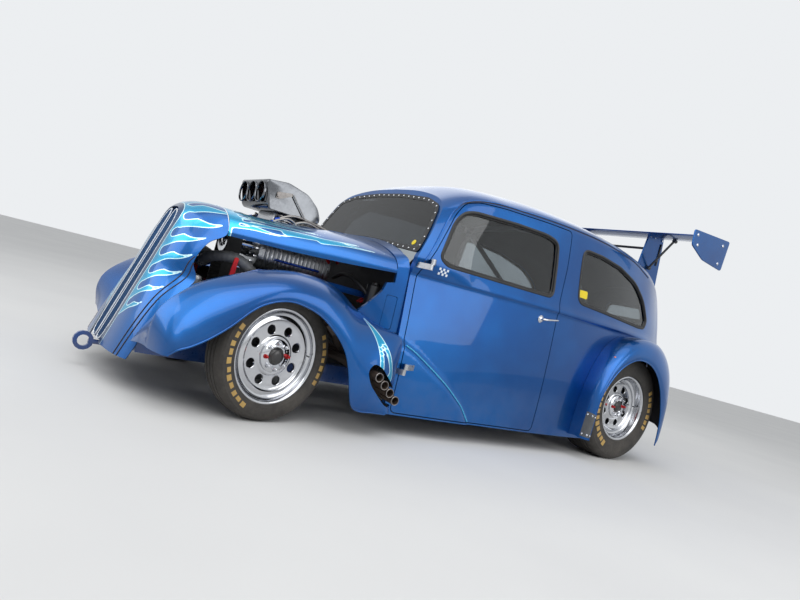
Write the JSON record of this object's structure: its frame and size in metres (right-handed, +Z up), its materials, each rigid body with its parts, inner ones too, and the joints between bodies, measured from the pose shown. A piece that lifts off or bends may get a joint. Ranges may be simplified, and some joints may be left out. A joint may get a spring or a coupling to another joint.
{
  "type": "drag racing car",
  "caption": "Small old two-door saloon built for drag racing, with a supercharged V8 open to view, a scoop through the bonnet, a high rear spoiler and deep drilled wheels.",
  "frame": {"origin": "on the floor under the middle of the car", "axes": "nose towards -Y, tail towards +Y, left side towards +X, +Z up"},
  "size_m": [1.5548, 3.92, 1.6486],
  "materials": {
    "frame": "satin",
    "floor": "satin",
    "firewall": "satin",
    "cage": "satin",
    "seat": "matt",
    "dashboard": "matt",
    "steering_wheel": "matt",
    "engine_block": "cast",
    "cylinder_head": "cast",
    "manifold": "polished",
    "supercharger": "polished",
    "belt_drive": "matt",
    "scoop": "polished",
    "throttle_plates": "anodised",
    "headers": "dark coated",
    "gearbox": "cast",
    "propshaft": "brushed",
    "rear_axle": "painted",
    "suspension": "satin",
    "knuckle": "cast",
    "steering_rack": "cast",
    "tie_rods": "brushed",
    "fuel_tank": "brushed",
    "spoiler": "gloss",
    "body": "gloss",
    "glazing": "tinted",
    "grille": "satin",
    "rim": "polished",
    "tyre": "matt"
  },
  "bodies": {
    "chassis": {"chassis_frame": "frame", "floor_pan": "floor", "boot_floor": "floor", "firewall": "firewall", "roll_cage": "cage", "seat": "seat", "dashboard": "dashboard", "engine_block": "engine_block", "cylinder_head_left": "cylinder_head", "cylinder_head_right": "cylinder_head", "intake_manifold": "manifold", "supercharger": "supercharger", "blower_drive": "belt_drive", "injector_scoop": "scoop", "throttle_plates": "throttle_plates", "headers_left": "headers", "headers_right": "headers", "gearbox": "gearbox", "propshaft": "propshaft", "rear_axle": "rear_axle", "front_suspension_left": "suspension", "front_suspension_right": "suspension", "steering_rack": "steering_rack", "fuel_tank": "fuel_tank", "rear_spoiler": "spoiler", "body_side_left": "body", "body_side_right": "body", "quarter_glass_left": "glazing", "quarter_glass_right": "glazing", "roof": "body", "tail_shell": "body", "rear_glass": "glazing", "scuttle": "body", "windscreen": "glazing", "nose_shell": "body", "grille": "grille", "bonnet": "body", "front_wing_left": "body", "front_wing_right": "body", "rear_wing_left": "body", "rear_wing_right": "body"},
    "door_left": {"door_left": "body", "door_glass_left": "glazing"},
    "door_right": {"door_right": "body", "door_glass_right": "glazing"},
    "boot_lid": {"boot_lid": "body"},
    "steering_wheel": {"steering_wheel": "steering_wheel"},
    "upright_left": {"knuckle_left": "knuckle"},
    "upright_right": {"knuckle_right": "knuckle"},
    "tie_rods": {"tie_rods": "tie_rods"},
    "wheel_front_left": {"rim_front_left": "rim", "tyre_front_left": "tyre"},
    "wheel_front_right": {"rim_front_right": "rim", "tyre_front_right": "tyre"},
    "wheel_rear_left": {"rim_rear_left": "rim", "tyre_rear_left": "tyre"},
    "wheel_rear_right": {"rim_rear_right": "rim", "tyre_rear_right": "tyre"}
  },
  "joints": [
    {"name": "door_left_hinge", "type": "hinge", "parent": "chassis", "child": "door_left", "pos_m": [0.664, -0.6, 0.6], "axis": [0, 0, -1], "range_deg": [0, 65]},
    {"name": "door_right_hinge", "type": "hinge", "parent": "chassis", "child": "door_right", "pos_m": [-0.664, -0.6, 0.6], "axis": [0, 0, 1], "range_deg": [0, 65]},
    {"name": "boot_lid_hinge", "type": "hinge", "parent": "chassis", "child": "boot_lid", "pos_m": [0, 1.952, 0.34], "axis": [-1, 0, 0], "range_deg": [0, 80]},
    {"name": "steer_left", "type": "hinge", "parent": "chassis", "child": "upright_left", "pos_m": [0.515, -1.3, 0.29], "axis": [0, 0, 1], "range_deg": [-32, 8]},
    {"name": "steer_right", "type": "hinge", "parent": "chassis", "child": "upright_right", "pos_m": [-0.515, -1.3, 0.29], "axis": [0, 0, 1], "range_deg": [-32, 8]},
    {"name": "tie_rods_slide", "type": "slide", "parent": "chassis", "child": "tie_rods", "axis": [1, 0, 0], "range_m": [-0.06, 0.016]},
    {"name": "steering_column", "type": "hinge", "parent": "chassis", "child": "steering_wheel", "pos_m": [-0.305, -0.26588, 0.80782], "axis": [0, 0.9747, 0.2234], "range_deg": [-450, 115]},
    {"name": "wheel_front_left_spin", "type": "hinge", "parent": "upright_left", "child": "wheel_front_left", "pos_m": [0.59032, -1.28399, 0.29], "axis": [0.9781, 0.2079, 0], "continuous": true},
    {"name": "wheel_front_right_spin", "type": "hinge", "parent": "upright_right", "child": "wheel_front_right", "pos_m": [-0.59032, -1.31601, 0.29], "axis": [0.9781, 0.2079, 0], "continuous": true},
    {"name": "wheel_rear_left_spin", "type": "hinge", "parent": "chassis", "child": "wheel_rear_left", "pos_m": [0.55, 1.233, 0.35], "axis": [1, 0, 0], "continuous": true},
    {"name": "wheel_rear_right_spin", "type": "hinge", "parent": "chassis", "child": "wheel_rear_right", "pos_m": [-0.55, 1.233, 0.35], "axis": [1, 0, 0], "continuous": true}
  ],
  "couplings": [
    {"joint": "steer_right", "follows": "steer_left", "ratio": 1},
    {"joint": "tie_rods_slide", "follows": "steer_left", "m_per_rad": 0.105},
    {"joint": "steering_column", "follows": "steer_left", "ratio": 14}
  ]
}
